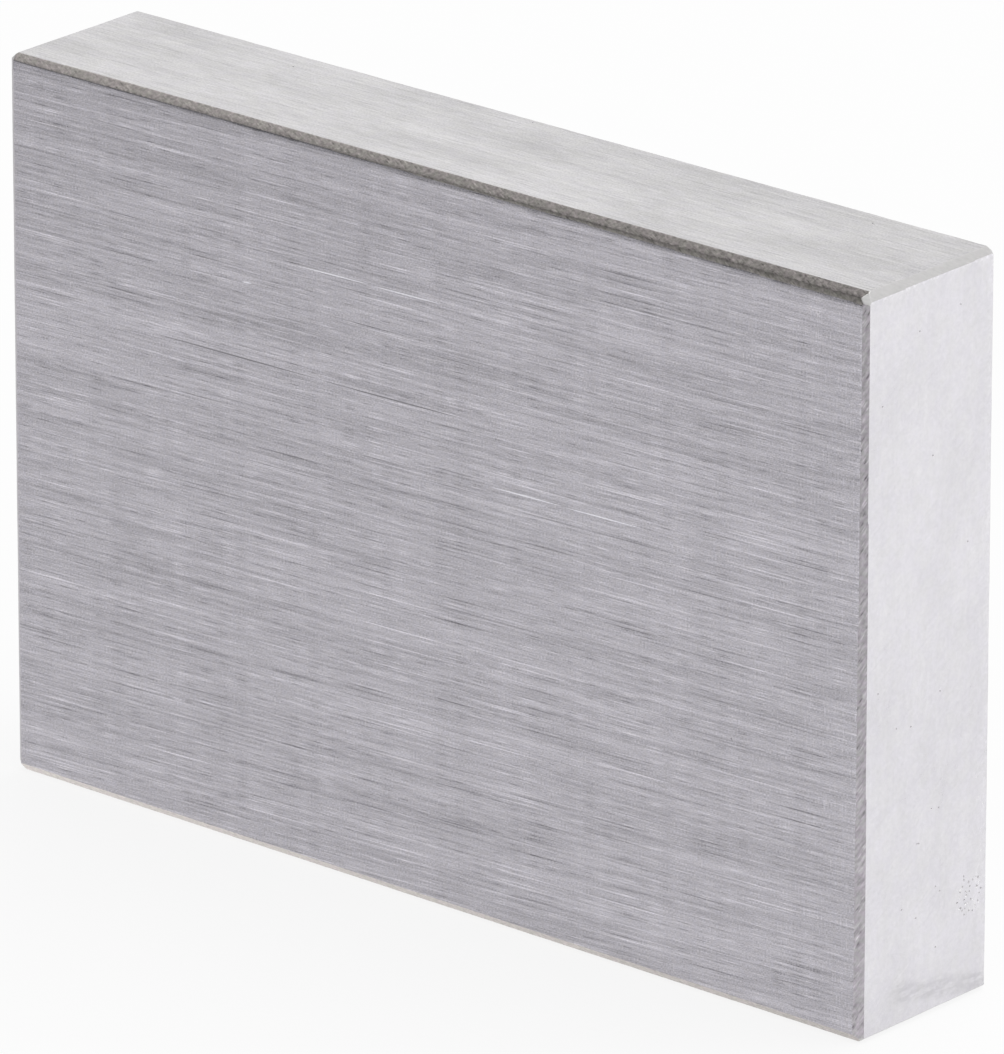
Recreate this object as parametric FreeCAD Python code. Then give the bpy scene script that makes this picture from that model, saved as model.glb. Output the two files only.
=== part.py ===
"""Rectangular gauge block, two inch nominal length, as one solid of hardened steel.

The block stands on its long narrow side.
X runs along the gauged length, from the left gauging face to the right one.
Y runs through the thickness, from the front broad side to the back one.
Z runs up the face height, from the side that the block stands on.
The origin is the middle of the standing side.

The six sides are ground flat and square. Every edge between them is then stoned
by hand, so each bevel is a plane of its own: it leans more one way than the
other and it widens or narrows along its edge. All sizes are in millimetres.
"""

import FreeCAD, Part
import os

from FreeCAD import Placement, Rotation, Vector

# The ground block.
gauged_length = 50.8
face_height = 35.0
thickness = 9.0

# Bevel of the top front edge, which is stoned twice. A leg is how far the bevel
# reaches onto the side that it is named for, from where the sharp edge would be.
front_top_on_top_left = 0.46
front_top_on_top_right = 0.50
front_top_on_front_left = 0.25
# The second stoning is steeper, and runs out before it reaches the left end.
second_front_top_on_front_right = 0.51
second_front_top_lean = 0.055
second_front_top_run = 32.0

# Bevel of the upright edge between the front and the right gauging face.
front_right_on_front_bottom = 0.43
front_right_on_front_top = 0.27
front_right_on_end_bottom = 0.30

# Bevel of the upright edge between the front and the left gauging face.
front_left_on_end_bottom = 0.30
front_left_on_end_top = 0.385
front_left_on_front_bottom = 0.36

# Bevel between the top and the right gauging face.
top_right_on_end_front = 0.41
top_right_on_end_back = 0.33
top_right_on_top_front = 0.28

# Bevel of the upright edge between the back and the right gauging face.
back_right_on_end_bottom = 0.335
back_right_on_end_top = 0.365
back_right_on_back_bottom = 0.35

# Bevels that keep one width along their edges.
back_top_on_top = 0.545
back_top_on_back = 0.38
top_left_on_top = 0.385
top_left_on_end = 0.34
front_bottom_on_front = 0.40
front_bottom_on_bottom = 0.34
bottom_right_on_end = 0.23
bottom_right_on_bottom = 0.35
plain_bevel_leg = 0.35

# Each corner is nipped square to its own diagonal. The reach is measured along
# the three edges that meet there, from where the sharp corner would be.
nip_reach_front_top_left = 0.72
nip_reach_back_top_right = 0.80
nip_reach_front_top_right = 0.72
nip_reach_front_bottom_left = 0.70
nip_reach_front_bottom_right = 0.58
nip_reach_back_top_left = 0.84
nip_reach_back_bottom = 0.57

left = -gauged_length / 2
right = gauged_length / 2
front = -thickness / 2
back = thickness / 2
bottom = 0.0
top = face_height

# Directions from an edge or a corner into the material.
to_right = Vector(1, 0, 0)
to_left = Vector(-1, 0, 0)
to_back = Vector(0, 1, 0)
to_front = Vector(0, -1, 0)
up = Vector(0, 0, 1)
down = Vector(0, 0, -1)


def stone_flat(block, first, second, third):
    """The block with everything beyond the plane through three points taken off."""
    normal = (second - first).cross(third - first)
    if normal.dot(first - block.CenterOfMass) < 0:
        normal = -normal
    reach = block.BoundBox.DiagonalLength
    stone = Part.makeBox(2 * reach, 2 * reach, reach, Vector(-reach, -reach, 0))
    stone.Placement = Placement(first, Rotation(up, normal))
    (stoned,) = block.cut(stone).Solids
    return stoned


def stone_edge(block, start, end, first_leg_start, first_leg_end, second_leg_start):
    """The block with one sharp edge, from start to end, stoned to a flat bevel.

    The first legs lie on one side of the edge, at its two ends, and the second
    leg lies on the other side, at the start. The bevel is flat, so these three
    settle its width along the whole edge.
    """
    return stone_flat(
        block,
        start + first_leg_start,
        end + first_leg_end,
        start + second_leg_start,
    )


def stone_even_edge(block, start, end, first_leg, second_leg):
    """The block with one sharp edge stoned to a bevel of one width."""
    return stone_edge(block, start, end, first_leg, first_leg, second_leg)


def nip_corner(block, corner, along_x, along_y, along_z, reach):
    """The block with the point left between three bevels taken off its corner."""
    return stone_flat(
        block,
        corner + along_x * reach,
        corner + along_y * reach,
        corner + along_z * reach,
    )


def ground_block():
    """The block as it leaves the grinder, with sharp edges."""
    return Part.makeBox(gauged_length, thickness, face_height, Vector(left, front, bottom))


def stone_top_edges(block):
    """Bevels of the four edges round the top."""
    block = stone_edge(
        block,
        Vector(left, front, top),
        Vector(right, front, top),
        to_back * front_top_on_top_left,
        to_back * front_top_on_top_right,
        down * front_top_on_front_left,
    )
    block = stone_edge(
        block,
        Vector(right, front, top),
        Vector(right, back, top),
        down * top_right_on_end_front,
        down * top_right_on_end_back,
        to_left * top_right_on_top_front,
    )
    block = stone_even_edge(
        block,
        Vector(left, back, top),
        Vector(right, back, top),
        to_front * back_top_on_top,
        down * back_top_on_back,
    )
    return stone_even_edge(
        block,
        Vector(left, front, top),
        Vector(left, back, top),
        to_right * top_left_on_top,
        down * top_left_on_end,
    )


def stone_top_front_again(block):
    """The steeper second facet, below the top front bevel.

    It fades out where its run ends and is widest at the right end. There it
    leans back from the front by second_front_top_lean, where it meets the first
    facet.
    """
    first_leg_right = front_top_on_front_left * front_top_on_top_right / front_top_on_top_left
    run_share = second_front_top_run / gauged_length
    first_leg_run_out = first_leg_right + (front_top_on_front_left - first_leg_right) * run_share
    meeting_depth = first_leg_right * (1 - second_front_top_lean / front_top_on_top_right)
    right_end = Vector(right, front, top)
    return stone_flat(
        block,
        right_end + to_left * second_front_top_run + down * first_leg_run_out,
        right_end + down * second_front_top_on_front_right,
        right_end + down * meeting_depth + to_back * second_front_top_lean,
    )


def stone_upright_edges(block):
    """Bevels of the four upright edges."""
    block = stone_edge(
        block,
        Vector(right, front, bottom),
        Vector(right, front, top),
        to_left * front_right_on_front_bottom,
        to_left * front_right_on_front_top,
        to_back * front_right_on_end_bottom,
    )
    block = stone_edge(
        block,
        Vector(left, front, bottom),
        Vector(left, front, top),
        to_back * front_left_on_end_bottom,
        to_back * front_left_on_end_top,
        to_right * front_left_on_front_bottom,
    )
    block = stone_edge(
        block,
        Vector(right, back, bottom),
        Vector(right, back, top),
        to_front * back_right_on_end_bottom,
        to_front * back_right_on_end_top,
        to_left * back_right_on_back_bottom,
    )
    return stone_even_edge(
        block,
        Vector(left, back, bottom),
        Vector(left, back, top),
        to_front * plain_bevel_leg,
        to_right * plain_bevel_leg,
    )


def stone_bottom_edges(block):
    """Bevels of the four edges round the side that the block stands on."""
    block = stone_even_edge(
        block,
        Vector(left, front, bottom),
        Vector(right, front, bottom),
        to_back * front_bottom_on_bottom,
        up * front_bottom_on_front,
    )
    block = stone_even_edge(
        block,
        Vector(right, front, bottom),
        Vector(right, back, bottom),
        to_left * bottom_right_on_bottom,
        up * bottom_right_on_end,
    )
    block = stone_even_edge(
        block,
        Vector(left, back, bottom),
        Vector(right, back, bottom),
        to_front * plain_bevel_leg,
        up * plain_bevel_leg,
    )
    return stone_even_edge(
        block,
        Vector(left, front, bottom),
        Vector(left, back, bottom),
        to_right * plain_bevel_leg,
        up * plain_bevel_leg,
    )


def nip_corners(block):
    """Small flats on the eight corners."""
    for corner_x, along_x, corner_y, along_y, corner_z, along_z, reach in (
        (left, to_right, front, to_back, top, down, nip_reach_front_top_left),
        (right, to_left, front, to_back, top, down, nip_reach_front_top_right),
        (left, to_right, back, to_front, top, down, nip_reach_back_top_left),
        (right, to_left, back, to_front, top, down, nip_reach_back_top_right),
        (left, to_right, front, to_back, bottom, up, nip_reach_front_bottom_left),
        (right, to_left, front, to_back, bottom, up, nip_reach_front_bottom_right),
        (left, to_right, back, to_front, bottom, up, nip_reach_back_bottom),
        (right, to_left, back, to_front, bottom, up, nip_reach_back_bottom),
    ):
        corner = Vector(corner_x, corner_y, corner_z)
        block = nip_corner(block, corner, along_x, along_y, along_z, reach)
    return block


def gauge_block():
    """The finished block."""
    block = ground_block()
    block = stone_top_edges(block)
    block = stone_top_front_again(block)
    block = stone_upright_edges(block)
    block = stone_bottom_edges(block)
    return nip_corners(block)


os.makedirs("parts", exist_ok=True)
gauge_block().exportStep(os.path.join("parts", "gauge_block.step"))
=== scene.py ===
"""Looks of the steel gauge block: stoned bevels, ground sides, lapped gauging faces."""

import math

import bpy
import numpy as np
from mathutils import Matrix, Vector


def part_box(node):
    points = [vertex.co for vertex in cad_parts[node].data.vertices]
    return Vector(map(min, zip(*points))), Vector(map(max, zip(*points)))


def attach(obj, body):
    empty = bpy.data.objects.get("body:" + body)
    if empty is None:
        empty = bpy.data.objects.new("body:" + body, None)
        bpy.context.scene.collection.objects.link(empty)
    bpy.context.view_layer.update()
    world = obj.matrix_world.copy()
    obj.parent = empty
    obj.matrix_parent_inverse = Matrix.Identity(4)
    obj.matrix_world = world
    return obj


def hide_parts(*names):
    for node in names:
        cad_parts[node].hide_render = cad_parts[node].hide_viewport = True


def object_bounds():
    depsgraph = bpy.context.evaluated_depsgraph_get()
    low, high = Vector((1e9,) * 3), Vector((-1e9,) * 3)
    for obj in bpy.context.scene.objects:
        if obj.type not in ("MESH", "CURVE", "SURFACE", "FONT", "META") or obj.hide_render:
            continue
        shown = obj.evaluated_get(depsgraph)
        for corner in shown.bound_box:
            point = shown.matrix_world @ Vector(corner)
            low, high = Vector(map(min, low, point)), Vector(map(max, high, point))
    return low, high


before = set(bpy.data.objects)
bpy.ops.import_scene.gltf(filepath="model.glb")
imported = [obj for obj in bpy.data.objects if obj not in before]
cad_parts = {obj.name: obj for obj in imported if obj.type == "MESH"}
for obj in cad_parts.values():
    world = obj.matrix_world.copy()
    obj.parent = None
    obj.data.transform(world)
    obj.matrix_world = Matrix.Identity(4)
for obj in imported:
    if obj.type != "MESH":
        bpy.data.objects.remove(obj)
cad_low, cad_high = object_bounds()
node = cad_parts["gauge_block"]
block_low, block_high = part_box("gauge_block")

MM = 0.001

# Grid on the block's sides, in millimetres: close lines near the edges, wider ones between.
EDGE_ZONE = 0.66
EDGE_LINE_GAP = 0.04
LONG_LINE_GAP = (0.2, 1.0, 1.0)

# Arrises: how deep the core that the grid shrinks towards lies, and how sharp they are, per mm.
CORE_DEPTH = 1.2
ARRIS_SHARPNESS = 110.0
BISECTIONS = 24

# Unevenness of the stoned bevels, in millimetres.
STONING_DEPTH = 0.006
STONING_WAVES = 8
SHORTEST_WAVE = 0.45
LONGEST_WAVE = 9.0

# How a facet's normal leans: along one axis, within this; in a nipped corner, with no part
# smaller than this; and in the second stoning, with its Y part over this.
FLAT_LEAN = 1e-4
CORNER_LEAN = 0.5
SECOND_STONING_LEAN = 0.95

# Numbers of a colour mix node's inputs and of its result, whose names aren't its own.
MIX_COLOUR = 6
MIX_OTHER_COLOUR = 7
MIX_COLOUR_RESULT = 2

# Space between the sides where they are laid out flat, in millimetres.
SHEET_MARGIN = 0.6

# The block's finishes, in the order of its material slots. Their base colours are partly painted
# light and shade: one steel, lightest on the gauging faces, lighter on the narrow sides and cross
# bevels, darker on the broad sides and the long and upright bevels, and darkest on the second
# stoning.
STEELS = (
    "broad", "narrow", "gauging", "long bevel", "upright bevel", "cross bevel", "second stoning",
)

# Camera: degrees, metres from the origin, and the aim's shift in millimetres.
CAMERA_AZIMUTH = 41.028
CAMERA_ELEVATION = 20.355
CAMERA_DISTANCE = 0.591771
AIM_RIGHT = 0.4585
AIM_UP = -0.5475
LENS = 444.62
SENSOR_WIDTH = 36.0

LAMP_POWER = 5.0
LAMP_WIDTH = 1.2
LAMP_PLACE = (0.15, 0.25, 1.3)

# The room's dark side: its direction, full within the first angle, gone beyond the second.
ROOM_DARK_SIDE = (-0.62, -0.75, 0.2)
ROOM_DARK_ANGLES = (40, 100)
ROOM_DARK = 0.4

# The floor, and where and how far it dims as the steel mirrors it.
FLOOR_REACH = 3.0
FLOOR_GREY = 0.92
FLOOR_WHITE_SHARE = 0.85
FLOOR_DIM_SIDE = (-0.62, -0.78, 0.0)
FLOOR_DIM_RANGE = (0.08, 0.30)
FLOOR_DIM = 0.3

# Corrosion pits in the right gauging face, as (y, z), in millimetres.
PIT_RADIUS = 0.07
PIT_SPACING = 0.17
PIT_PLACES = (
    (0.8, 15.2), (-3.5, 16.3), (-2.2, 14.3), (-1.2, 14.1), (0.3, 9.8), (0.8, 9.7), (0.65, 6.0),
    (0.95, 5.7), (-1.7, 5.6), (-0.7, 4.9), (0.7, 3.1), (1.9, 32.9), (-0.9, 32.4), (-0.68, 8.42),
    (-0.56, 8.4), (-3.4, 29.6), (2.6, 21.7), (0.1, 26.4),
)
PIT_CLUSTER = (3.0, 4.95)
PIT_CLUSTER_RADIUS = 0.9
PIT_CLUSTER_DENSITY = 16.0
PIT_CLUSTER_STRETCH = (1.15, 0.95, 1.0)
PIT_ROUGHNESS = 0.008
# Shares of the radius, along X, Y and Z.
PIT_LEAST_SIZE = (0.3, 0.5, 0.45)
PIT_MOST_SIZE = (0.5, 1.1, 0.95)
# Polished specks beside the pits and near the back edge.
SPECK_PLACES = ((3.6, 9.4), (3.9, 9.0), (3.8, 7.8), (3.8, 6.8), (3.4, 10.4), (3.85, 12.1))
SPECK_DENSITY = 7.0

# Nicks in the front, as (x, z), and at the back of the top, as (x, y).
NICK_RADIUS = 0.06
FRONT_NICKS = ((-3.7, 29.6), (-21.6, 32.3), (17.9, 12.6))
TOP_NICKS = ((-0.8, 3.7), (19.5, 3.0), (19.62, 2.95), (-14.2, 2.6))

# Scores in the front, each from (x, z) to (x, z), in millimetres.
SCORE_WIDTH = 0.08
SCORE_DEPTH = 0.008
# Shares of the width: at the tips, and what the middle has over them.
SCORE_TIP = 0.1
SCORE_SWELL = 0.8
BRIGHT_SCORES = (
    ((3.9, 21.02), (8.0, 21.11)), ((8.2, 21.09), (12.6, 21.19)),
    ((-7.6, 28.8), (-3.4, 28.9)), ((-3.0, 28.88), (0.9, 28.95)), ((-11.0, 27.28), (-10.4, 27.32)),
)
DARK_SCORES = (((-16.6, 23.55), (-6.4, 23.7)), ((-6.0, 23.68), (2.2, 23.85)))


# The form ---------------------------------------------------------------------


def facets_of(cad_node):
    """Outward normals and offsets, in millimetres, of the flat facets of a convex solid."""
    found = []
    for face in cad_node.data.polygons:
        normal = np.array(face.normal)
        offset = float(normal @ np.array(face.center)) / MM
        for other, other_offset in found:
            if np.allclose(normal, other, atol=1e-3) and abs(offset - other_offset) < 1e-3:
                break
        else:
            found.append((normal, offset))
    return np.array([n for n, _ in found]), np.array([o for _, o in found])


def edge_lines(low, high, gap):
    """Places of grid lines from low to high, close together near both ends."""
    near = np.arange(0, EDGE_ZONE, EDGE_LINE_GAP)
    first, last = low + near[-1] + EDGE_LINE_GAP, high - near[-1] - EDGE_LINE_GAP
    middle = np.linspace(first, last, round((last - first) / gap) + 1)
    return np.concatenate([low + near, middle, high - near[::-1]])


def box_grid(low, high):
    """Points and outward quads of a box whose sides are ruled with edge_lines."""
    lines = [edge_lines(low[axis], high[axis], LONG_LINE_GAP[axis]) for axis in range(3)]
    sides = []
    for axis in range(3):
        across, along = (axis + 1) % 3, (axis + 2) % 3
        i, j = np.meshgrid(
            np.arange(len(lines[across]) - 1), np.arange(len(lines[along]) - 1), indexing="ij"
        )
        for end in (0, len(lines[axis]) - 1):
            corners = np.empty(i.shape + (4, 3), int)
            corners[..., axis] = end
            for corner, (di, dj) in enumerate(((0, 0), (1, 0), (1, 1), (0, 1))):
                corners[..., corner, across] = i + di
                corners[..., corner, along] = j + dj
            corners = corners.reshape(-1, 4, 3)
            sides.append(corners if end else corners[:, ::-1])
    used, quads = np.unique(np.concatenate(sides).reshape(-1, 3), axis=0, return_inverse=True)
    points = np.stack([lines[axis][used[:, axis]] for axis in range(3)], 1)
    return points, quads.reshape(-1, 4)


def stoning(points, normals, seed):
    """How far, at each point, the hand's unevenness brings each bevel in or out."""
    rng = np.random.default_rng(seed)
    uneven = np.zeros((len(points), len(normals)))
    lengths = np.geomspace(LONGEST_WAVE, SHORTEST_WAVE, STONING_WAVES)
    heights = STONING_DEPTH * (lengths / LONGEST_WAVE) ** 0.25 / math.sqrt(STONING_WAVES)
    for facet, normal in enumerate(normals):
        lean = rng.uniform(-0.6, 0.6, STONING_WAVES)
        phases = rng.uniform(0, 2 * np.pi, STONING_WAVES)
        if np.abs(normal).max() > 1 - FLAT_LEAN:
            continue
        along = np.eye(3)[int(np.abs(normal).argmin())]
        across = np.cross(normal, along)
        waves = (along + lean[:, None] * across) * (2 * np.pi / lengths)[:, None]
        uneven[:, facet] = (np.sin(points @ waves.T + phases) * heights).sum(1)
    return uneven


def brought_in(points, core, planes, uneven):
    """The points, moved towards the core until they lie on the softly rounded solid."""
    normals, offsets = planes
    inner, outer = np.ones(len(points)), np.zeros(len(points))
    for _ in range(BISECTIONS):
        half = (inner + outer) / 2
        distance = (points + (core - points) * half[:, None]) @ normals.T - offsets + uneven
        highest = distance.max(1)
        rounding = np.log(np.exp(ARRIS_SHARPNESS * (distance - highest[:, None])).sum(1))
        inside = highest + rounding / ARRIS_SHARPNESS < 0
        inner = np.where(inside, half, inner)
        outer = np.where(inside, outer, half)
    return points + (core - points) * ((inner + outer) / 2)[:, None]


def steel_kind(normal):
    """The place in STEELS of the steel that a facet with this normal shows."""
    lean = np.abs(normal)
    if lean.max() > 1 - FLAT_LEAN:
        kind = ("gauging", "broad", "narrow")[int(lean.argmax())]
    elif lean.min() > CORNER_LEAN:
        kind = "cross bevel"
    elif lean[1] > SECOND_STONING_LEAN:
        kind = "second stoning"
    else:
        kind = ("long bevel", "cross bevel", "upright bevel")[int(lean.argmin())]
    return STEELS.index(kind)


def stoned_block():
    """The block's mesh in millimetres, every arris softly rounded, each bevel a little uneven."""
    planes = facets_of(node)
    normals, offsets = planes
    low, high = np.array(block_low) / MM, np.array(block_high) / MM
    points, quads = box_grid(low, high)
    core = np.clip(points, low + CORE_DEPTH, high - CORE_DEPTH)
    even = brought_in(points, core, planes, np.zeros((1, len(normals))))
    uneven = stoning(even, normals, seed=4)
    points = np.clip(brought_in(points, core, planes, uneven), low, high)
    facet = (points[quads].mean(1) @ normals.T - offsets).argmax(1)
    bevels = np.abs(normals).max(1) < 1 - FLAT_LEAN
    gap = -(points @ normals[bevels].T - offsets[bevels]).max(1)
    mesh = bpy.data.meshes.new("stoned_block")
    mesh.from_pydata(points.tolist(), [], quads.tolist())
    kinds = np.array([steel_kind(normal) for normal in normals])
    mesh.polygons.foreach_set("material_index", kinds[facet])
    mesh.polygons.foreach_set("use_smooth", np.ones(len(quads), bool))
    mesh.attributes.new("edge_gap", "FLOAT", "POINT").data.foreach_set("value", gap)
    mesh.update()
    return placed(mesh, "gauge_block_steel")


def placed(data, name):
    """A new object, at the origin, for a mesh, a camera or a lamp."""
    made = bpy.data.objects.new(name, data)
    bpy.context.scene.collection.objects.link(made)
    return made


def as_plain_mesh(item):
    """The item with its modifiers worked into its mesh."""
    evaluated = item.evaluated_get(bpy.context.evaluated_depsgraph_get())
    mesh = bpy.data.meshes.new_from_object(evaluated)
    item.modifiers.clear()
    item.data = mesh


def new_tree(title, inputs):
    """A node tree with a geometry output and these inputs, as {name: type}."""
    tree = bpy.data.node_groups.new(title, "GeometryNodeTree")
    tree.interface.new_socket("Geometry", in_out="INPUT", socket_type="NodeSocketGeometry")
    tree.interface.new_socket("Geometry", in_out="OUTPUT", socket_type="NodeSocketGeometry")
    for name, kind in inputs.items():
        tree.interface.new_socket(name, in_out="INPUT", socket_type=kind)
    return tree, tree.nodes.new("NodeGroupInput").outputs, tree.nodes.new("NodeGroupOutput").inputs


def grown(points, edges, name, tree, values):
    """A mesh of points and edges in millimetres, grown into solids by a node tree."""
    seedling = bpy.data.meshes.new(name)
    seedling.from_pydata(points, edges, [])
    item = placed(seedling, name)
    modifier = item.modifiers.new(name, "NODES")
    modifier.node_group = tree
    for socket in tree.interface.items_tree:
        if socket.name in values and socket.in_out == "INPUT":
            modifier[socket.identifier] = values[socket.name]
    as_plain_mesh(item)
    return item


def fill(tree, made, values):
    """Give a node's inputs, by name or number, their values or links."""
    for socket, value in values.items():
        if isinstance(value, bpy.types.NodeSocket):
            tree.links.new(value, made.inputs[socket])
        else:
            made.inputs[socket].default_value = value


def node_of(tree, kind, values=None, **settings):
    """A new node with its settings, and its inputs' values or links."""
    made = tree.nodes.new(kind)
    for name, value in settings.items():
        setattr(made, name, value)
    fill(tree, made, values or {})
    return made


def pit_tree():
    """Small uneven lumps, on each given point and scattered about one more place."""
    tree, given, output = new_tree("corrosion_pits", {
        "Radius": "NodeSocketFloat", "Cluster": "NodeSocketVector",
        "Cluster Radius": "NodeSocketFloat", "Spacing": "NodeSocketFloat",
        "Density": "NodeSocketFloat", "Seed": "NodeSocketInt", "Steel": "NodeSocketMaterial",
    })
    patch = node_of(tree, "GeometryNodeMeshCircle", {
        "Vertices": 24, "Radius": given["Cluster Radius"]}, fill_type="NGON")
    upright = node_of(tree, "GeometryNodeTransform", {
        "Geometry": patch.outputs["Mesh"], "Translation": given["Cluster"],
        "Rotation": (0.0, math.pi / 2, 0.0), "Scale": PIT_CLUSTER_STRETCH})
    scatter = node_of(tree, "GeometryNodeDistributePointsOnFaces", {
        "Mesh": upright.outputs["Geometry"], "Distance Min": given["Spacing"],
        "Density Max": given["Density"], "Seed": given["Seed"]}, distribute_method="POISSON")
    single = node_of(tree, "GeometryNodeMeshToPoints", {"Mesh": given["Geometry"]})
    places = node_of(tree, "GeometryNodeJoinGeometry")
    tree.links.new(scatter.outputs["Points"], places.inputs["Geometry"])
    tree.links.new(single.outputs["Points"], places.inputs["Geometry"])
    lump = node_of(tree, "GeometryNodeMeshIcoSphere", {
        "Radius": given["Radius"], "Subdivisions": 2})
    rough = node_of(tree, "FunctionNodeRandomValue", {
        "Min": (-PIT_ROUGHNESS,) * 3, "Max": (PIT_ROUGHNESS,) * 3, "Seed": given["Seed"]},
        data_type="FLOAT_VECTOR")
    dented = node_of(tree, "GeometryNodeSetPosition", {
        "Geometry": lump.outputs["Mesh"], "Offset": rough.outputs["Value"]})
    sizes = node_of(tree, "FunctionNodeRandomValue", {
        "Min": PIT_LEAST_SIZE, "Max": PIT_MOST_SIZE, "Seed": given["Seed"]},
        data_type="FLOAT_VECTOR")
    turns = node_of(tree, "FunctionNodeRandomValue", {
        "Max": (math.tau, 0.0, 0.0), "Seed": given["Seed"]}, data_type="FLOAT_VECTOR")
    lumps = node_of(tree, "GeometryNodeInstanceOnPoints", {
        "Points": places.outputs["Geometry"], "Instance": dented.outputs["Geometry"],
        "Rotation": turns.outputs["Value"], "Scale": sizes.outputs["Value"]})
    real = node_of(tree, "GeometryNodeRealizeInstances", {"Geometry": lumps.outputs["Instances"]})
    steel = node_of(tree, "GeometryNodeSetMaterial", {
        "Geometry": real.outputs["Geometry"], "Material": given["Steel"]})
    tree.links.new(steel.outputs["Geometry"], output["Geometry"])
    return tree


def score_tree():
    """A thin, tapered, flat strip along each given edge."""
    tree, given, output = new_tree("scores", {
        "Width": "NodeSocketFloat", "Depth": "NodeSocketFloat", "Steel": "NodeSocketMaterial"})
    line = node_of(tree, "GeometryNodeMeshToCurve", {"Mesh": given["Geometry"]})
    finer = node_of(tree, "GeometryNodeResampleCurve", {
        "Curve": line.outputs["Curve"], "Count": 25})
    along = node_of(tree, "GeometryNodeSplineParameter").outputs["Factor"]
    arch = node_of(tree, "ShaderNodeMath", {0: along, 1: math.pi}, operation="MULTIPLY")
    swell = node_of(tree, "ShaderNodeMath", {0: arch.outputs[0]}, operation="SINE")
    width = node_of(tree, "ShaderNodeMath", {
        0: swell.outputs[0], 1: SCORE_SWELL, 2: SCORE_TIP}, operation="MULTIPLY_ADD")
    height = node_of(tree, "ShaderNodeMath", {0: given["Depth"], 1: 2.0}, operation="MULTIPLY")
    section = node_of(tree, "GeometryNodeCurvePrimitiveQuadrilateral", {
        "Width": height.outputs[0], "Height": given["Width"]})
    rod = node_of(tree, "GeometryNodeCurveToMesh", {
        "Curve": finer.outputs["Curve"], "Profile Curve": section.outputs["Curve"],
        "Scale": width.outputs[0], "Fill Caps": True})
    real = node_of(tree, "GeometryNodeRealizeInstances", {"Geometry": rod.outputs["Mesh"]})
    steel = node_of(tree, "GeometryNodeSetMaterial", {
        "Geometry": real.outputs["Geometry"], "Material": given["Steel"]})
    tree.links.new(steel.outputs["Geometry"], output["Geometry"])
    return tree


def mark_cutters(dark_pit, light_speck, bright_score, dark_score):
    """Solids that stand where the marks are, each with the steel that its mark shows."""
    end, front, top = block_high[0] / MM, block_low[1] / MM, block_high[2] / MM
    lumps, strips = pit_tree(), score_tree()
    cluster = {"Cluster": (end, *PIT_CLUSTER), "Cluster Radius": PIT_CLUSTER_RADIUS}
    pits = [(end, y, z) for y, z in PIT_PLACES]
    specks = [(end, y, z) for y, z in SPECK_PLACES]
    nicks = [(x, front, z) for x, z in FRONT_NICKS] + [(x, y, top) for x, y in TOP_NICKS]
    for name, places, radius, density, seed, steel in (
        ("pits", pits, PIT_RADIUS, PIT_CLUSTER_DENSITY, 7, dark_pit),
        ("specks", specks, PIT_RADIUS, SPECK_DENSITY, 3, light_speck),
        ("nicks", nicks, NICK_RADIUS, 0.0, 5, dark_score),
    ):
        yield grown(places, [], name, lumps, cluster | {
            "Radius": radius, "Spacing": PIT_SPACING, "Density": density,
            "Seed": seed, "Steel": steel,
        })
    for name, scores, steel in (
        ("bright_scores", BRIGHT_SCORES, bright_score), ("dark_scores", DARK_SCORES, dark_score)
    ):
        ends = [(x, front, z) for score in scores for x, z in score]
        pairs = [(2 * i, 2 * i + 1) for i in range(len(scores))]
        yield grown(ends, pairs, name, strips, {
            "Width": SCORE_WIDTH, "Depth": SCORE_DEPTH, "Steel": steel})


def cut_marks(piece, cutters):
    """Cut pits, specks, nicks and scores into the block."""
    cutters = list(cutters)
    for cutter in cutters:
        cut = piece.modifiers.new(cutter.name, "BOOLEAN")
        cut.operation = "DIFFERENCE"
        cut.solver = "MANIFOLD"
        cut.material_mode = "TRANSFER"
        cut.object = cutter
    as_plain_mesh(piece)
    for cutter in cutters:
        bpy.data.objects.remove(cutter)


def values_of(items, name, width=1, kind=float):
    """One property of every item of a mesh, as an array."""
    values = np.empty(len(items) * width, kind)
    items.foreach_get(name, values)
    return values.reshape(-1, width) if width > 1 else values


def unwrap(mesh):
    """Lay the six sides out flat, each with the bevels that lean towards it."""
    low, high = np.array(block_low) / MM, np.array(block_high) / MM
    length, thick, tall = high - low
    column = length + 2 * SHEET_MARGIN
    sheet = max(column + 3 * (thick + SHEET_MARGIN), 2 * tall + 3 * SHEET_MARGIN)
    second = tall + 2 * SHEET_MARGIN
    # For the low and high side of each axis: its corner on the sheet, and the axes there.
    corners = np.array((
        (column + 2 * (thick + SHEET_MARGIN), SHEET_MARGIN),
        (column + 2 * (thick + SHEET_MARGIN), second),
        (SHEET_MARGIN, SHEET_MARGIN),
        (SHEET_MARGIN, second),
        (column, SHEET_MARGIN),
        (column + thick + SHEET_MARGIN, SHEET_MARGIN),
    ))
    axes = np.array(((1, 2), (1, 2), (0, 2), (0, 2), (1, 0), (1, 0)))
    middles = values_of(mesh.polygons, "center", 3)
    normals = values_of(mesh.polygons, "normal", 3)
    marked = values_of(mesh.polygons, "material_index", kind=np.int32) >= len(STEELS)
    lean = np.stack([-normals, normals], 2).reshape(-1, 6)
    depth = np.stack([low - middles, middles - high], 2).reshape(-1, 6)
    side = np.where(marked[:, None], depth, lean).argmax(1)
    side = np.repeat(side, values_of(mesh.polygons, "loop_total", kind=np.int32))
    points = values_of(mesh.vertices, "co", 3)[values_of(mesh.loops, "vertex_index", kind=np.int32)]
    places = np.take_along_axis(points - low, axes[side], 1) + corners[side]
    mesh.uv_layers.new(name="OFBake").data.foreach_set("uv", (places / sheet).ravel())


# Materials --------------------------------------------------------------------


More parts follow.
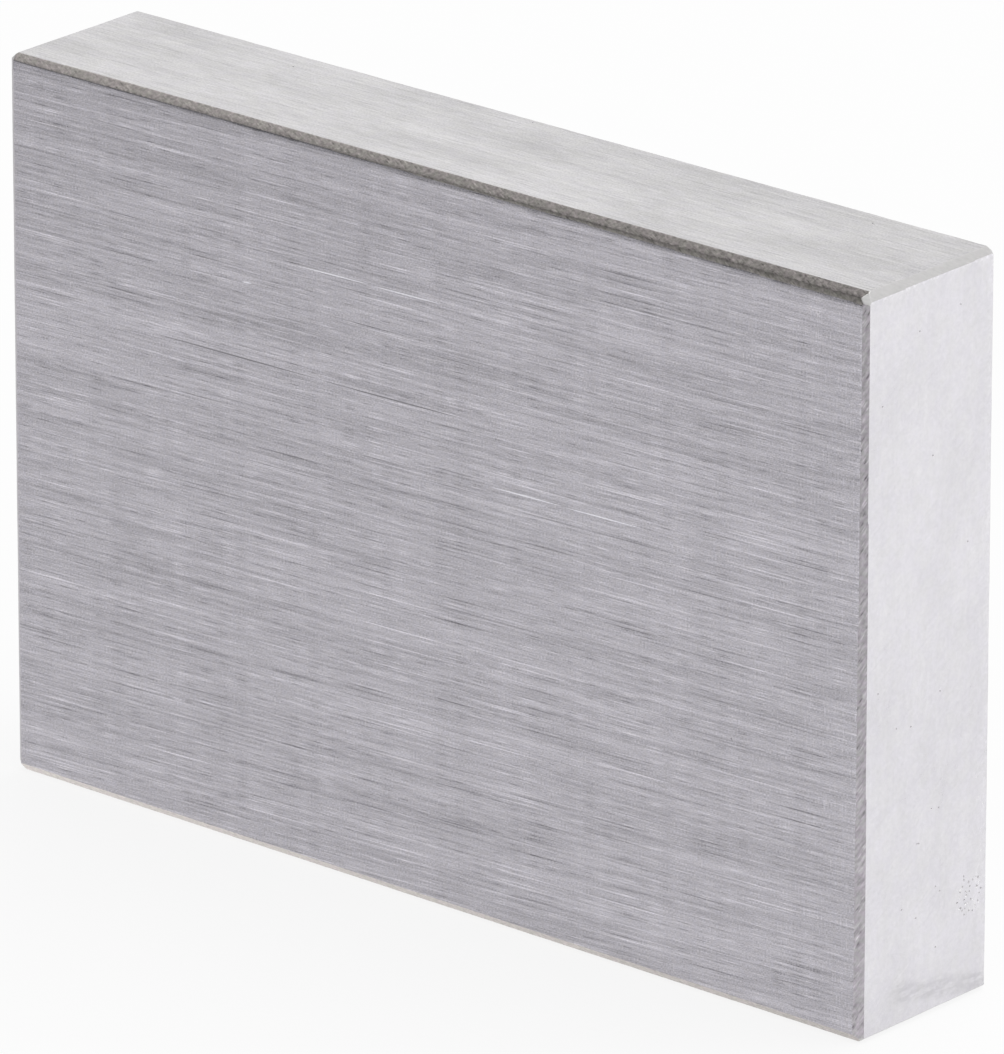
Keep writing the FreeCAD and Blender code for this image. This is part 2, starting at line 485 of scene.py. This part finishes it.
class Tree:
    """Short ways to add nodes to a material's tree."""

    def __init__(self, name):
        self.material = bpy.data.materials.new(name)
        self.material.use_nodes = True
        self.tree = self.material.node_tree
        self.shader = self.tree.nodes["Principled BSDF"]
        coordinates = self.add("ShaderNodeTexCoord")
        scale = self.add("ShaderNodeMapping", {
            "Vector": coordinates.outputs["Object"], "Scale": (1 / MM,) * 3})
        self.place = scale.outputs["Vector"]

    def add(self, kind, values=None, **settings):
        """A new node with its settings, and its inputs' values or links."""
        return node_of(self.tree, kind, values, **settings)

    def maths(self, operation, first, second=0.0, third=0.0):
        """What one operation makes of up to three values."""
        values = {0: first, 1: second, 2: third}
        return self.add("ShaderNodeMath", values, operation=operation).outputs[0]

    def product(self, *values):
        """All the values, multiplied."""
        total = values[0]
        for value in values[1:]:
            total = self.maths("MULTIPLY", total, value)
        return total

    def weighed(self, parts):
        """The sum of (value, weight) pairs."""
        total = None
        for value, weight in parts:
            part = self.maths("MULTIPLY", value, weight)
            total = part if total is None else self.maths("ADD", total, part)
        return total

    def ramp(self, value, start, end):
        """0 on the start's side and 1 on the end's side, with a soft change between them."""
        values = {"Value": value, "From Min": start, "From Max": end}
        made = self.add("ShaderNodeMapRange", values, interpolation_type="SMOOTHSTEP")
        return made.outputs["Result"]

    def parts_of(self, place):
        """The X, Y and Z of a place."""
        return self.add("ShaderNodeSeparateXYZ", {"Vector": place}).outputs

    def point(self, x, y, z=0.0):
        """A place from its X, Y and Z."""
        return self.add("ShaderNodeCombineXYZ", {"X": x, "Y": y, "Z": z}).outputs["Vector"]

    def turned(self, angle):
        """The place, turned by angle about X."""
        made = self.add("ShaderNodeMapping", {
            "Vector": self.place, "Rotation": (angle, 0.0, 0.0)})
        return made.outputs["Vector"]

    def fanned(self, lean, fan):
        """The place with Z sheared along X, by lean at the foot and fan more per millimetre up."""
        x, y, z = self.parts_of(self.place)
        slope = self.maths("MULTIPLY_ADD", z, fan, lean)
        return self.point(x, y, self.maths("SUBTRACT", z, self.maths("MULTIPLY", x, slope)))

    def grain(self, place, per_mm, detail=2.0, roughness=0.5, shift=0.0):
        """Noise about zero, with its own number of features per millimetre along X, Y and Z."""
        stretch = self.add("ShaderNodeMapping", {
            "Vector": place, "Scale": per_mm, "Location": (shift, shift, shift)})
        noise = self.add("ShaderNodeTexNoise", {
            "Vector": stretch.outputs["Vector"], "Scale": 1.0, "Detail": detail,
            "Roughness": roughness})
        return self.maths("SUBTRACT", noise.outputs["Fac"], 0.5)

    def dashes(self, along, across, length, width, share, shift=0.0):
        """Separate thin scratches, 0 to 1, at most length by width, on a share of the surface."""
        spot = self.point(
            self.maths("MULTIPLY_ADD", along, 1 / length, shift),
            self.maths("MULTIPLY_ADD", across, 1 / width, shift),
        )
        cells = self.add(
            "ShaderNodeTexVoronoi", {"Vector": spot, "Scale": 1.0},
            voronoi_dimensions="2D", feature="F1",
        )
        chance = self.add("ShaderNodeSeparateColor", {"Color": cells.outputs["Color"]}).outputs
        profile = self.maths("MULTIPLY_ADD", cells.outputs["Distance"], -2.0, 1.0)
        there = self.maths("LESS_THAN", chance["Red"], share)
        depth = self.maths("MULTIPLY_ADD", chance["Green"], 0.7, 0.3)
        return self.product(self.maths("MAXIMUM", profile, 0.0), there, depth)

    def near_edge(self, reach):
        """1 at a bevel's border, falling to 0 at reach from it, in millimetres."""
        gap = self.add("ShaderNodeAttribute", attribute_name="edge_gap").outputs["Fac"]
        return self.maths("MAXIMUM", self.maths("MULTIPLY_ADD", gap, -1 / reach, 1.0), 0.0)

    def tinted(self, colour, other, size):
        """A colour that drifts towards another one and back, over patches of this size."""
        drift = self.grain(self.place, (1 / size,) * 3, 2.0, 0.6, 37.0)
        made = self.add("ShaderNodeMix", {
            "Factor": self.ramp(drift, -0.15, 0.15),
            MIX_COLOUR: (*colour, 1.0), MIX_OTHER_COLOUR: (*other, 1.0),
        }, data_type="RGBA")
        return made.outputs[MIX_COLOUR_RESULT]

    def finish(self, colour, shade, rough, rough_shade, bump, bump_height, lay_strength=0.0):
        """Steel whose colour, roughness and relief follow the given patterns."""
        tint = self.add("ShaderNodeVectorMath", {
            0: colour, "Scale": self.maths("ADD", shade, 1.0)}, operation="SCALE")
        relief = self.add("ShaderNodeBump", {
            "Strength": 1.0, "Distance": bump_height * MM, "Height": bump})
        fill(self.tree, self.shader, {
            "Base Color": tint.outputs["Vector"], "Metallic": 1.0,
            "Roughness": self.maths("ADD", rough_shade, rough),
            "Normal": relief.outputs["Normal"],
        })
        if lay_strength:
            lay = self.point(1.0, 0.0)
            fill(self.tree, self.shader, {"Anisotropic": lay_strength, "Tangent": lay})
        return self.material


def broad_ground_steel():
    """Broad sides: ground along the length, with hairlines of every length, a painted shade line
    under the top bevel and a painted highlight beside the right end's bevel.
    """
    t = Tree("broad_ground_steel")
    plain_x, _, plain_z = t.parts_of(t.place)
    place = t.fanned(0.034, -0.00055)
    x, _, z = t.parts_of(place)
    fine = t.grain(place, (0.6, 1.0, 14.0), 2.0, 0.6)
    long = t.grain(place, (0.08, 1.0, 10.0), 2.0, 0.6, 7.0)
    grit = t.grain(place, (10.0, 2.0, 24.0), 1.0, 0.5, 13.0)
    bands = t.grain(place, (0.05, 0.3, 0.9), 2.0, 0.5, 21.0)
    light = t.dashes(x, z, 7.0, 0.09, 0.12, 3.3)
    light_short = t.dashes(x, z, 1.5, 0.07, 0.2, 8.1)
    dark = t.dashes(x, z, 5.0, 0.11, 0.14, 17.7)
    dark_short = t.dashes(x, z, 1.1, 0.09, 0.2, 29.3)
    pattern = t.weighed((
        (fine, 0.5), (long, 0.5), (grit, 0.9), (bands, 0.22),
        (light, 0.40), (light_short, 0.32), (dark, -0.34), (dark_short, -0.28),
    ))
    top, end = block_high[2] / MM, block_high[0] / MM
    # Painted shade: a thin dark line along the broad sides' top edge, under the top bevel.
    painted_shade_under_top = t.product(t.near_edge(0.05), t.ramp(plain_z, top - 0.75, top - 0.65))
    # Painted highlight: a ragged light line along the broad sides' right edge, beside the end's
    # bevel.
    painted_highlight_beside_end = t.product(
        t.near_edge(0.14), t.ramp(plain_x, end - 1.5, end - 1.0),
        t.ramp(t.grain(t.place, (6.0, 6.0, 5.0), 1.0, 0.5, 43.0), -0.03, 0.08),
        t.ramp(plain_z, 5.0, 14.0),
    )
    hairs = t.product(
        t.dashes(plain_z, plain_x, 0.9, 0.06, 0.16, 41.0), t.ramp(plain_x, end - 7.0, end - 1.0)
    )
    return t.finish(
        # Base colour: partly painted shade, darker than the narrow sides' and the gauging faces'.
        t.tinted((0.50, 0.485, 0.528), (0.505, 0.487, 0.518), 0.25),
        t.weighed(((pattern, 1.1), (painted_shade_under_top, -0.55), (painted_highlight_beside_end, 0.16), (hairs, 0.3))),
        rough=0.40, rough_shade=t.maths("MULTIPLY", pattern, -0.25),
        bump=pattern, bump_height=0.003, lay_strength=0.6,
    )


def narrow_ground_steel():
    """Narrow sides: a finer, fainter lay along the length."""
    t = Tree("narrow_ground_steel")
    x, y, _ = t.parts_of(t.place)
    fine = t.grain(t.place, (0.8, 9.0, 1.0), 2.0, 0.6)
    long = t.grain(t.place, (0.1, 4.0, 1.0), 2.0, 0.6, 5.0)
    grit = t.grain(t.place, (9.0, 16.0, 1.0), 1.0, 0.5, 13.0)
    cloud = t.grain(t.place, (0.15, 0.5, 0.5), 2.0, 0.5, 11.0)
    dark = t.dashes(x, y, 3.0, 0.14, 0.12, 17.7)
    light = t.dashes(x, y, 0.8, 0.14, 0.12, 5.1)
    pattern = t.weighed((
        (fine, 0.45), (long, 0.32), (grit, 0.6), (cloud, 0.45), (dark, -0.22), (light, 0.14),
    ))
    shade = t.weighed(((pattern, 1.0), (y, -0.0095)))
    return t.finish(
        # Base colour: partly painted light, lighter than the broad sides'.
        t.tinted((0.62, 0.608, 0.622), (0.622, 0.612, 0.612), 0.6), shade,
        rough=0.36, rough_shade=t.maths("MULTIPLY", pattern, -0.15),
        bump=pattern, bump_height=0.0015, lay_strength=0.5,
    )


def lapped_steel():
    """Gauging faces: lapped nearly bright, with faint hairlines and a smudge at the foot."""
    t = Tree("lapped_steel")
    _, y, z = t.parts_of(t.place)
    _, run, cross = t.parts_of(t.turned(math.radians(-30)))
    grain = t.grain(t.place, (1.0, 4.5, 4.5), 3.0, 0.7)
    upright = t.grain(t.place, (1.0, 4.0, 0.35), 2.0, 0.6, 3.0)
    cloud = t.grain(t.place, (0.3, 0.5, 0.3), 3.0, 0.55, 9.0)
    patch = t.grain(t.place, (1.0, 1.6, 1.3), 2.0, 0.5, 15.0)
    slant = t.dashes(run, cross, 2.2, 0.11, 0.16, 5.1)
    slant_dark = t.dashes(run, cross, 3.0, 0.12, 0.14, 15.1)
    pattern = t.weighed((
        (grain, 0.28), (upright, 0.06), (cloud, 0.22), (patch, 0.10),
        (slant, 0.05), (slant_dark, -0.05),
    ))
    top, back = block_high[2] / MM, block_high[1] / MM
    level = t.maths("MULTIPLY_ADD", y, 0.2, z)
    smudge = t.product(
        t.ramp(level, 0.6, 1.1), t.ramp(level, 2.0, 1.5), t.ramp(y, -2.8, -1.6),
        t.ramp(t.grain(t.place, (1.0, 1.2, 4.0), 3.0, 0.6, 27.0), -0.22, 0.12),
    )
    rag = t.ramp(t.grain(t.place, (5.0, 5.0, 5.0), 2.0, 0.6, 33.0), -0.06, 0.10)
    rim = t.product(t.near_edge(0.10), t.ramp(z, top - 2.0, top - 1.5), rag)
    specks = t.product(t.near_edge(0.35), t.ramp(y, back - 1.5, back - 1.0), rag)
    foot = t.ramp(z, 4.0, 0.4)
    shade = t.weighed((
        (pattern, 0.7), (smudge, -0.13), (rim, 0.15), (specks, 0.06), (foot, -0.045), (z, 0.001),
    ))
    return t.finish(
        # Base colour: partly painted light, the lightest of the steels.
        t.tinted((0.758, 0.743, 0.783), (0.762, 0.75, 0.775), 0.8), shade,
        rough=0.26, rough_shade=t.maths("MULTIPLY", pattern, -0.15),
        bump=pattern, bump_height=0.0007,
    )


def stone_strokes(t, along, across, slant, strokes, mottle, hairs):
    """Marks of a stone drawn at a slant to a bevel's edge, each kind with its own strength."""
    c, s = math.cos(math.radians(slant)), math.sin(math.radians(slant))
    run = t.weighed(((along, c), (across, -s)))
    cross = t.weighed(((along, s), (across, c)))
    return t.weighed((
        (t.grain(t.point(run, cross), (1.6, 7.0, 1.0), 2.0, 0.6), strokes),
        (t.grain(t.point(along, across), (5.0, 5.0, 1.0), 3.0, 0.7, 8.0), mottle),
        (t.dashes(run, cross, 0.55, 0.09, 0.25, 3.1), hairs),
        (t.dashes(run, cross, 0.50, 0.10, 0.25, 9.7), -hairs),
    ))


def stoned_long_bevel():
    """Bevels along the length: mottled, with painted shade darkening them towards the right and at
    the top bevels' lower border, and a painted reflection of the white floor lightening the bottom
    bevels.
    """
    t = Tree("stoned_long_bevel")
    x, _, z = t.parts_of(t.place)
    across = t.maths("MULTIPLY", z, 2.1)
    pattern = stone_strokes(t, x, across, slant=26, strokes=0.35, mottle=0.8, hairs=0.22)
    top = block_high[2] / MM
    # Painted shade: darker along the lower border of the top bevels.
    lower = t.product(t.ramp(z, top - 0.14, top - 0.26), t.ramp(z, 10.0, 20.0))
    # Painted reflection: the bottom bevels made lighter, as if mirroring the white floor.
    foot = t.ramp(z, 3.0, 2.0)
    # The x term is painted shade, darker towards the right.
    shade = t.weighed(((pattern, 2.0), (x, -0.009), (lower, -0.25), (foot, 0.45)))
    return t.finish(
        # Base colour: partly painted shade, darker than the upright and cross bevels'.
        t.tinted((0.45, 0.41, 0.405), (0.43, 0.41, 0.385), 0.3), shade,
        rough=0.36, rough_shade=t.maths("MULTIPLY", pattern, 0.2),
        bump=pattern, bump_height=0.010,
    )


def stoned_upright_bevel():
    """Upright bevels: bold slanting strokes, a little darker towards the top."""
    t = Tree("stoned_upright_bevel")
    _, y, z = t.parts_of(t.place)
    across = t.maths("MULTIPLY", y, 1.75)
    pattern = stone_strokes(t, z, across, slant=-30, strokes=0.7, mottle=0.4, hairs=0.38)
    shade = t.weighed(((pattern, 1.5), (z, -0.0045)))
    return t.finish(
        # Base colour: partly painted shade, darker than the cross bevels'.
        t.tinted((0.482, 0.445, 0.49), (0.466, 0.456, 0.468), 0.22), shade,
        rough=0.36, rough_shade=t.maths("MULTIPLY", pattern, 0.2),
        bump=pattern, bump_height=0.012,
    )


def stoned_cross_bevel():
    """Bevels through the thickness, and the nipped corners: nearly even, with faint strokes."""
    t = Tree("stoned_cross_bevel")
    _, y, z = t.parts_of(t.place)
    across = t.maths("MULTIPLY", z, 1.2)
    pattern = stone_strokes(t, y, across, slant=30, strokes=0.3, mottle=0.3, hairs=0.15)
    return t.finish(
        # Base colour: partly painted light, lighter than the other bevels'.
        t.tinted((0.61, 0.598, 0.60), (0.60, 0.595, 0.59), 0.3),
        t.maths("MULTIPLY", pattern, 0.6),
        rough=0.36, rough_shade=t.maths("MULTIPLY", pattern, 0.2),
        bump=pattern, bump_height=0.006,
    )


def second_stoning_steel():
    """The steep second facet under the top front bevel: mottled like it, and dark with painted
    shade, more so towards the right.
    """
    t = Tree("second_stoning_steel")
    x, _, z = t.parts_of(t.place)
    pattern = stone_strokes(t, x, z, slant=26, strokes=0.35, mottle=0.8, hairs=0.2)
    # Painted shade: darker towards the right.
    shade = t.weighed(((pattern, 2.0), (x, -0.004)))
    return t.finish(
        # Base colour: partly painted shade, the darkest of the steels.
        t.tinted((0.35, 0.325, 0.315), (0.34, 0.328, 0.30), 0.3), shade,
        rough=0.40, rough_shade=t.maths("MULTIPLY", pattern, 0.2),
        bump=pattern, bump_height=0.008,
    )


def mark_steel(name, colour, rough):
    """The bottom of a pit or a score, mottled at a hair's scale."""
    t = Tree(name)
    mottle = t.grain(t.place, (14.0, 14.0, 14.0), 2.0, 0.6)
    return t.finish(colour, mottle, rough, t.maths("MULTIPLY", mottle, 0.3), mottle, 0.005)


# Stage ------------------------------------------------------------------------


def view_axes(azimuth, elevation):
    """Unit vectors from the object to the eye, to the eye's right, and up."""
    a, e = math.radians(azimuth), math.radians(elevation)
    back = Vector((math.sin(a) * math.cos(e), -math.cos(a) * math.cos(e), math.sin(e)))
    right = Vector((math.cos(a), math.sin(a), 0.0))
    return back, right, back.cross(right)


def add_camera():
    """A long lens, above the block and in front of its right end."""
    back, right, up = view_axes(CAMERA_AZIMUTH, CAMERA_ELEVATION)
    centre = (cad_low + cad_high) / 2
    aim = centre + right * (AIM_RIGHT * MM) + up * (AIM_UP * MM)
    data = bpy.data.cameras.new("camera")
    data.lens = LENS
    data.sensor_width = SENSOR_WIDTH
    data.clip_start, data.clip_end = 0.01, 50.0
    eye = aim + back * (CAMERA_DISTANCE - aim.dot(back))
    turn = Matrix((right, up, back)).transposed().to_4x4()
    camera = placed(data, "camera")
    camera.matrix_world = Matrix.Translation(eye) @ turn
    bpy.context.scene.camera = camera


def add_lamp():
    """One broad lamp overhead, a little behind the block."""
    data = bpy.data.lights.new("overhead", "AREA")
    data.shape = "DISK"
    data.size = LAMP_WIDTH
    data.energy = LAMP_POWER
    lamp = placed(data, "overhead")
    lamp.location = LAMP_PLACE
    lamp.rotation_euler = Vector(LAMP_PLACE).to_track_quat("Z", "Y").to_euler()


def floor_material():
    """Matt and pale, partly shining white, and dimmer in front where the steel mirrors it."""
    material = bpy.data.materials.new("pale_floor")
    material.use_nodes = True
    tree = material.node_tree
    shader = tree.nodes["Principled BSDF"]
    fill(tree, shader, {
        "Base Color": (FLOOR_GREY, FLOOR_GREY, FLOOR_GREY, 1.0),
        "Roughness": 0.9, "Specular IOR Level": 0.0,
    })
    place = node_of(tree, "ShaderNodeNewGeometry").outputs["Position"]
    far = node_of(tree, "ShaderNodeVectorMath", {
        0: place, 1: FLOOR_DIM_SIDE}, operation="DOT_PRODUCT")
    start, end = FLOOR_DIM_RANGE
    dim = node_of(tree, "ShaderNodeMapRange", {
        "Value": far.outputs["Value"], "From Min": start, "From Max": end,
        "To Min": 1.0, "To Max": FLOOR_DIM,
    }, interpolation_type="SMOOTHSTEP")
    ray = node_of(tree, "ShaderNodeLightPath").outputs
    strength = node_of(tree, "ShaderNodeMix", {
        "Factor": ray["Is Glossy Ray"], "A": 1.0, "B": dim.outputs["Result"]})
    white = node_of(tree, "ShaderNodeEmission", {"Strength": strength.outputs["Result"]})
    share = 0.0
    for name in ("Is Camera Ray", "Is Transmission Ray", "Is Glossy Ray"):
        share = node_of(tree, "ShaderNodeMath", {
            0: ray[name], 1: FLOOR_WHITE_SHARE, 2: share}, operation="MULTIPLY_ADD").outputs[0]
    mix = node_of(tree, "ShaderNodeMixShader", {
        0: share, 1: shader.outputs["BSDF"], 2: white.outputs["Emission"]})
    fill(tree, tree.nodes["Material Output"], {"Surface": mix.outputs["Shader"]})
    return material


def add_floor():
    """A wide, plain, pale floor."""
    reach = FLOOR_REACH
    corners = [(-reach, -reach, 0), (reach, -reach, 0), (reach, reach, 0), (-reach, reach, 0)]
    mesh = bpy.data.meshes.new("floor")
    mesh.from_pydata(corners, [], [(0, 1, 2, 3)])
    mesh.materials.append(floor_material())
    floor = placed(mesh, "floor")


def add_room():
    """A soft, bright room with a dark side in front, which the camera sees as white."""
    world = bpy.data.worlds.new("studio")
    world.use_nodes = True
    bpy.context.scene.world = world
    tree = world.node_tree
    direction = node_of(tree, "ShaderNodeTexCoord").outputs["Generated"]
    towards = node_of(tree, "ShaderNodeVectorMath", {
        0: direction, 1: Vector(ROOM_DARK_SIDE).normalized()}, operation="DOT_PRODUCT")
    inner, outer = (math.cos(math.radians(angle)) for angle in ROOM_DARK_ANGLES)
    dark = node_of(tree, "ShaderNodeMapRange", {
        "Value": towards.outputs["Value"], "From Min": outer, "From Max": inner,
    }, interpolation_type="SMOOTHSTEP")
    strength = node_of(tree, "ShaderNodeMapRange", {
        "Value": dark.outputs["Result"], "To Min": 1.0, "To Max": ROOM_DARK})
    ray = node_of(tree, "ShaderNodeLightPath").outputs
    seen = node_of(tree, "ShaderNodeMix", {
        "Factor": ray["Is Camera Ray"], "A": strength.outputs["Result"], "B": 1.0})
    fill(tree, tree.nodes["Background"], {
        "Color": (1.0, 1.0, 1.0, 1.0), "Strength": seen.outputs["Result"]})


def make_block():
    """The finished block, with its marks, on the root body."""
    piece = stoned_block()
    # In the order of STEELS.
    for steel in (
        broad_ground_steel(), narrow_ground_steel(), lapped_steel(), stoned_long_bevel(),
        stoned_upright_bevel(), stoned_cross_bevel(), second_stoning_steel(),
    ):
        piece.data.materials.append(steel)
    cut_marks(piece, mark_cutters(
        dark_pit=mark_steel("pit_floor", (0.60, 0.585, 0.60), 0.5),
        light_speck=mark_steel("polished_speck", (0.92, 0.91, 0.92), 0.4),
        bright_score=mark_steel("bright_score", (0.90, 0.89, 0.95), 0.45),
        dark_score=mark_steel("dark_score", (0.33, 0.32, 0.34), 0.5),
    ))
    unwrap(piece.data)
    piece.data.transform(Matrix.Scale(MM, 4))
    piece.data.set_sharp_from_angle(angle=math.radians(30))
    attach(piece, "root")
    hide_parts("gauge_block")


make_block()
add_camera()
add_lamp()
add_floor()
add_room()
bpy.context.scene.view_settings.view_transform = "Standard"
